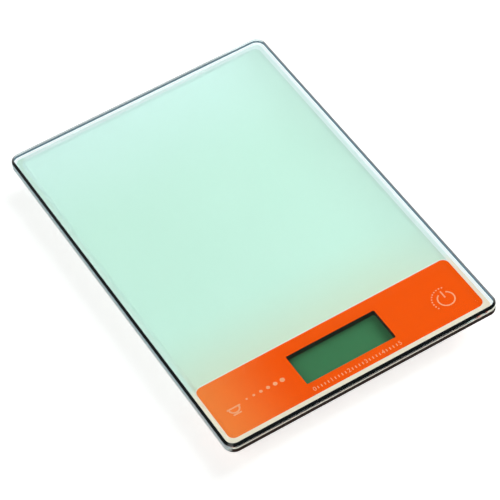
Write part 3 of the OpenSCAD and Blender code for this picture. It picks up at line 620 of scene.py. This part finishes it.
def glass_plate():
    """Plate with round corners and a ground arris round its top and, smaller, round its back.

    The back reaches a hair into the border ink, and a film of air keeps it apart from the colours within.
    """
    corner_r = 5.5 * MM
    top_arris = 1.2 * MM
    back_arris = 0.6 * MM
    painted_shadow_height = 3.1 * MM  # how far up the side the painted shadow reaches
    bite = 0.01 * MM  # how far the back reaches into the border ink
    film = 0.03 * MM  # thickness of the air over the prints
    # The back steps in three times: to just short of the corners' centres, to the colours, and up the film
    steps = (4.8 * MM, 0.5 * MM, 0.02 * MM)
    touching = 0.01 * MM
    low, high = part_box("glass_platform")
    low.z -= bite
    bm = bmesh.new()
    bmesh.ops.create_cube(bm, size=1)
    bmesh.ops.scale(bm, vec=high - low, verts=bm.verts)
    bmesh.ops.translate(bm, vec=(low + high) / 2, verts=bm.verts)
    upright = [e for e in bm.edges if abs(e.verts[0].co.z - e.verts[1].co.z) > 1 * MM]
    bmesh.ops.bevel(bm, geom=upright, offset=corner_r, offset_type="OFFSET", affect="EDGES", segments=32,
                    profile=0.5, material=-1)
    for level, width, slot in ((high.z, top_arris, TOP_ARRIS), (low.z, back_arris, BACK_ARRIS)):
        rim = [e for e in bm.edges if all(abs(v.co.z - level) < touching for v in e.verts)]
        made = bmesh.ops.bevel(bm, geom=rim, offset=width, offset_type="OFFSET", affect="EDGES", segments=1,
                               profile=0.5, material=-1)
        for face in made["faces"]:
            face.material_index = slot
    painted_shadow_top = low.z + painted_shadow_height
    bmesh.ops.bisect_plane(bm, geom=bm.verts[:] + bm.edges[:] + bm.faces[:], dist=touching,
                           plane_co=(0, 0, painted_shadow_top), plane_no=(0, 0, 1))
    back = min(bm.faces, key=face_height)
    for step in steps:
        made = bmesh.ops.inset_region(bm, faces=[back], thickness=step, use_even_offset=True)
        for face in made["faces"]:
            face.material_index = RIM
        # the corners' arcs have shrunk to next to nothing, so each becomes one point
        bmesh.ops.remove_doubles(bm, verts=back.verts, dist=0.5 * MM)
        wide = [face for face in bm.faces if face.calc_area() > 0.01]
        back = min(wide, key=face_height)
    bmesh.ops.translate(bm, vec=(0, 0, film), verts=back.verts)
    for face in bm.faces:
        if face.material_index == CLEAR and low.z + 1 * MM < face_height(face) < high.z - 1 * MM:
            face.material_index = SIDE if face_height(face) > painted_shadow_top else PAINTED_SHADOW_FOOT
    # painted shade: the arrises are painted dark, the left side grey, and the front foot dark brown as
    # shadow
    plate = piece("glass_plate", bm, [
        float_glass("tempered_float_glass", "#fafefc"), ground_edge("glass_arris_painted_shade", "#758b97"),
        ground_side("buffed_glass_side", 0.0, "#c2dfee"), ground_edge("back_arris_painted_shade", "#607884"),
        float_glass("glass_rim", "#dcecf0"), ground_side("glass_foot_painted_shadow", 1.0, "#e8f8ff")
    ])
    # Only the narrow faces round the corners are smooth
    for face in plate.data.polygons:
        face.use_smooth = face.area < (4 * MM) ** 2
    plate.data.set_sharp_from_angle(angle=math.radians(25))
    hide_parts("glass_platform")


glass_plate()


# ---- Marks on the band ----

def arc(bm, centre, radius, width, start, sweep, steps):
    """A flat printed arc, from a small section spun about its centre."""
    made = bmesh.ops.create_circle(bm, segments=4, radius=math.sqrt(0.5), cap_ends=True,
                                   matrix=Matrix.Rotation(math.radians(45), 4, "Z"))
    verts = made["verts"]
    bmesh.ops.scale(bm, vec=(width, mark_t, 1), verts=verts)
    bmesh.ops.rotate(bm, cent=(0, 0, 0), matrix=Matrix.Rotation(math.radians(90), 3, "X"), verts=verts)
    bmesh.ops.translate(bm, vec=(radius, 0, 0), verts=verts)
    bmesh.ops.rotate(bm, cent=(0, 0, 0), matrix=Matrix.Rotation(math.radians(start), 3, "Z"), verts=verts)
    bmesh.ops.translate(bm, vec=centre, verts=verts)
    edges = list({e for v in verts for e in v.link_edges})
    faces = list({f for v in verts for f in v.link_faces})
    bmesh.ops.spin(bm, geom=verts + edges + faces, cent=centre, axis=(0, 0, 1), angle=math.radians(sweep),
                   steps=steps, use_merge=False)


def bar(bm, centre, length, width):
    """A flat printed stroke, length along X."""
    made = bmesh.ops.create_cube(bm, size=1)
    bmesh.ops.scale(bm, vec=(length, width, mark_t), verts=made["verts"])
    bmesh.ops.translate(bm, vec=centre, verts=made["verts"])


def dot(bm, centre, radius):
    """A flat printed dot."""
    made = bmesh.ops.create_cone(bm, cap_ends=True, segments=20, radius1=radius, radius2=radius,
                                 depth=mark_t)
    bmesh.ops.translate(bm, vec=centre, verts=made["verts"])


def numeral(bm, centre, digit, height):
    """A plain numeral, its middle at centre."""
    curve = bpy.data.curves.new("numeral", "FONT")
    curve.body = str(digit)
    curve.size = height * 1.4
    curve.extrude = mark_t / 2
    curve.align_x = "CENTER"
    curve.align_y = "CENTER"
    text = bpy.data.objects.new("numeral", curve)
    bpy.context.collection.objects.link(text)
    mesh = text.to_mesh()
    before = set(bm.verts)
    bm.from_mesh(mesh)
    bmesh.ops.translate(bm, vec=centre, verts=[v for v in bm.verts if v not in before])
    text.to_mesh_clear()
    bpy.data.objects.remove(text)
    bpy.data.curves.remove(curve)


mark_t = 0.01 * MM
mark_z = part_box("band_print")[1].z + 0.006 * MM  # just clear of the orange ink


def mark_at(x, y):
    """A point of a mark, from its place in millimetres."""
    return Vector((x * MM, y * MM, mark_z))


def printed_mark(name, bm):
    """A mark of pale ink, printed before the orange, so it shows in front of it."""
    bmesh.ops.recalc_face_normals(bm, faces=bm.faces)
    mark = piece(name, bm, [pale_ink])


def touch_mark():
    """A standby ring over the touch electrode, open at the top, with a dotted arc round its left side."""
    line = 0.7 * MM
    low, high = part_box("touch_electrode")
    centre = Vector((high.x - 5.5 * MM, (low.y + high.y) / 2, mark_z))
    bm = bmesh.new()
    arc(bm, centre, 4.2 * MM, line, start=118, sweep=304, steps=48)
    bar(bm, centre + Vector((0, 3.1 * MM, 0)), line, 4.4 * MM)
    arc_start, dot_spacing, dot_count = 75, 13, 11
    for step in range(dot_count):
        angle = math.radians(arc_start + step * dot_spacing)
        dot(bm, centre + 7 * MM * Vector((math.cos(angle), math.sin(angle), 0)), 0.42 * MM)
    printed_mark("touch_mark", bm)


def rule_mark():
    """A rule under the window: plain numerals with four ticks between each two."""
    middle_x, middle_y, pitch, count = 0.5, -100.9, 1.9, 26
    bm = bmesh.new()
    for step in range(count):
        place = mark_at((step - (count - 1) / 2) * pitch + middle_x, middle_y)
        if step % 5 == 0:
            numeral(bm, place, step // 5, 2.4 * MM)
        else:
            bar(bm, place, 0.5 * MM, 1.5 * MM)
    printed_mark("rule_mark", bm)


def bowl_mark():
    """A plain bowl on a plate, and a row of dots that grow as a load does."""
    line = 0.8 * MM
    bm = bmesh.new()
    centre = mark_at(-60.2, -88.7)
    arc(bm, centre - Vector((0, 0.32 * MM, 0)), 2.7 * MM, line, start=180, sweep=180, steps=24)
    bar(bm, centre, 7.2 * MM, line)
    bar(bm, centre - Vector((0, 3.9 * MM, 0)), 4.4 * MM, line)
    for step in range(6):
        dot(bm, mark_at(-52.5 + step * 3.9, -87.8), (0.55 + 0.14 * step) * MM)
    printed_mark("bowl_mark", bm)


# Thin pale peach lines, which stand out softly from the orange
pale_ink = printed("pale_peach_ink", "#ffab7c", "#ffb88e")
touch_mark()
rule_mark()
bowl_mark()


bpy.context.scene.view_settings.view_transform = "Standard"
